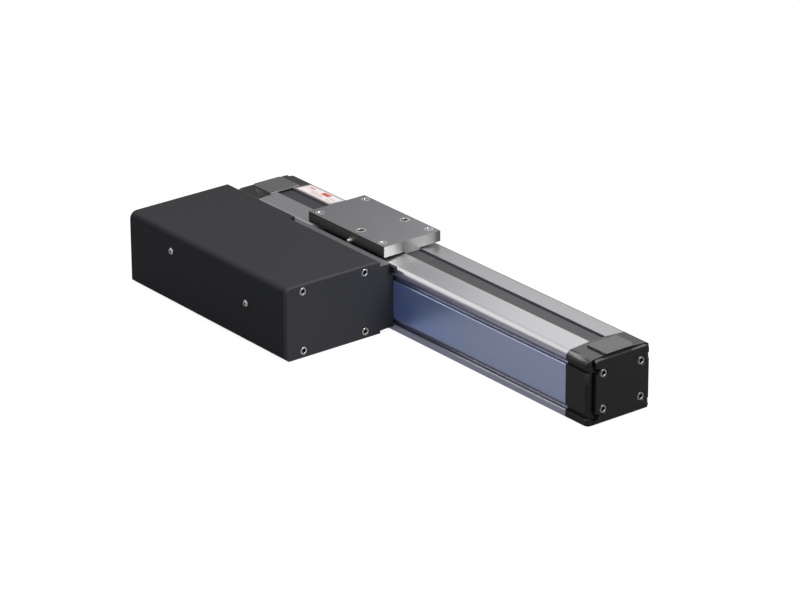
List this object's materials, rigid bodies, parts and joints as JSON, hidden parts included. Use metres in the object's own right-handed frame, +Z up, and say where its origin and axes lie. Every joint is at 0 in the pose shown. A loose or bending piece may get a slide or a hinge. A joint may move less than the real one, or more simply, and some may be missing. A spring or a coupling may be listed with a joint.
{
  "type": "ball screw linear module",
  "caption": "Linear module: a carriage driven by a ball screw inside a slotted aluminium profile, with the motor and belt drive in a box mounted alongside.",
  "frame": {"origin": "on the profile's underside, at the middle of its length and width", "axes": "+X along the profile towards the free end, +Y away from the motor box, +Z up through the carriage"},
  "size_m": [0.55, 0.2037, 0.0793],
  "materials": {
    "anodised_profile": "satin natural anodised extrusion",
    "black_anodised": "black anodised, fine matt",
    "black_powder_coat": "black powder coat, fine texture",
    "charcoal_plate": "dark grey anodised plate",
    "strip_steel": "dark grey coated steel strip",
    "milled_aluminium": "grey hard anodised, milled",
    "machined_aluminium": "machined",
    "ground_steel": "hardened and ground",
    "bearing_steel": "polished",
    "bright_fastener": "stainless steel",
    "dark_fastener": "black oxide steel",
    "zinc_nut": "zinc plated steel",
    "nitrile": "moulded",
    "belt_rubber": "toothed polyurethane belt",
    "brass_nipple": "turned",
    "label_film": "plain white film",
    "motor_black": "black",
    "encoder_plastic": "moulded"
  },
  "bodies": {
    "frame": {"profile": "anodised_profile", "cover_strip": "strip_steel", "guide_rail": "ground_steel", "rail_screws": "dark_fastener", "front_end_cap": "black_anodised", "front_cover_plate": "black_anodised", "front_cover_screws": "bright_fastener", "rear_end_cap": "black_anodised", "rear_cover_plate": "black_anodised", "rear_cover_screws": "bright_fastener", "bearing_outer_rings": "bearing_steel", "bearing_retainer": "dark_fastener", "bumpers": "nitrile", "mounting_flange": "charcoal_plate", "flange_seal": "nitrile", "flange_screws": "dark_fastener", "t_nuts": "zinc_nut", "motor_plate": "machined_aluminium", "motor_plate_screws": "dark_fastener", "motor_body": "motor_black", "encoder_housing": "encoder_plastic", "motor_screws": "dark_fastener", "box_cover": "black_powder_coat", "box_front_plate": "charcoal_plate", "box_front_screws": "bright_fastener", "tie_rods": "machined_aluminium", "box_rear_plate": "black_powder_coat", "box_rear_screws": "bright_fastener", "box_side_screws": "bright_fastener", "clinch_nuts": "zinc_nut", "drive_belt": "belt_rubber", "blank_label": "label_film"},
    "carriage": {"carriage_plate": "milled_aluminium", "carriage_inserts": "bright_fastener", "carriage_bushings": "bright_fastener", "grease_nipple": "brass_nipple", "saddle": "machined_aluminium", "saddle_screws": "dark_fastener", "web_screws": "dark_fastener", "guide_blocks": "ground_steel", "block_seals": "nitrile", "ball_nut": "bearing_steel"},
    "screw": {"ball_screw": "ground_steel", "bearing_inner_rings": "bearing_steel", "lock_nut": "dark_fastener", "screw_pulley": "machined_aluminium"},
    "motor_rotor": {"motor_shaft": "ground_steel", "motor_pulley": "machined_aluminium"}
  },
  "joints": [
    {"name": "carriage_slide", "type": "slide", "parent": "frame", "child": "carriage", "axis": [1, 0, 0], "range_m": [-0.0815, 0.2685]},
    {"name": "screw_spin", "type": "hinge", "parent": "frame", "child": "screw", "pos_m": [0, 0, 0.0435], "axis": [1, 0, 0], "continuous": true},
    {"name": "motor_spin", "type": "hinge", "parent": "frame", "child": "motor_rotor", "pos_m": [0, -0.107, 0.038], "axis": [1, 0, 0], "continuous": true}
  ],
  "couplings": [
    {"joint": "screw_spin", "follows": "carriage_slide", "rad_per_m": -628.32},
    {"joint": "motor_spin", "follows": "carriage_slide", "rad_per_m": -628.32}
  ]
}
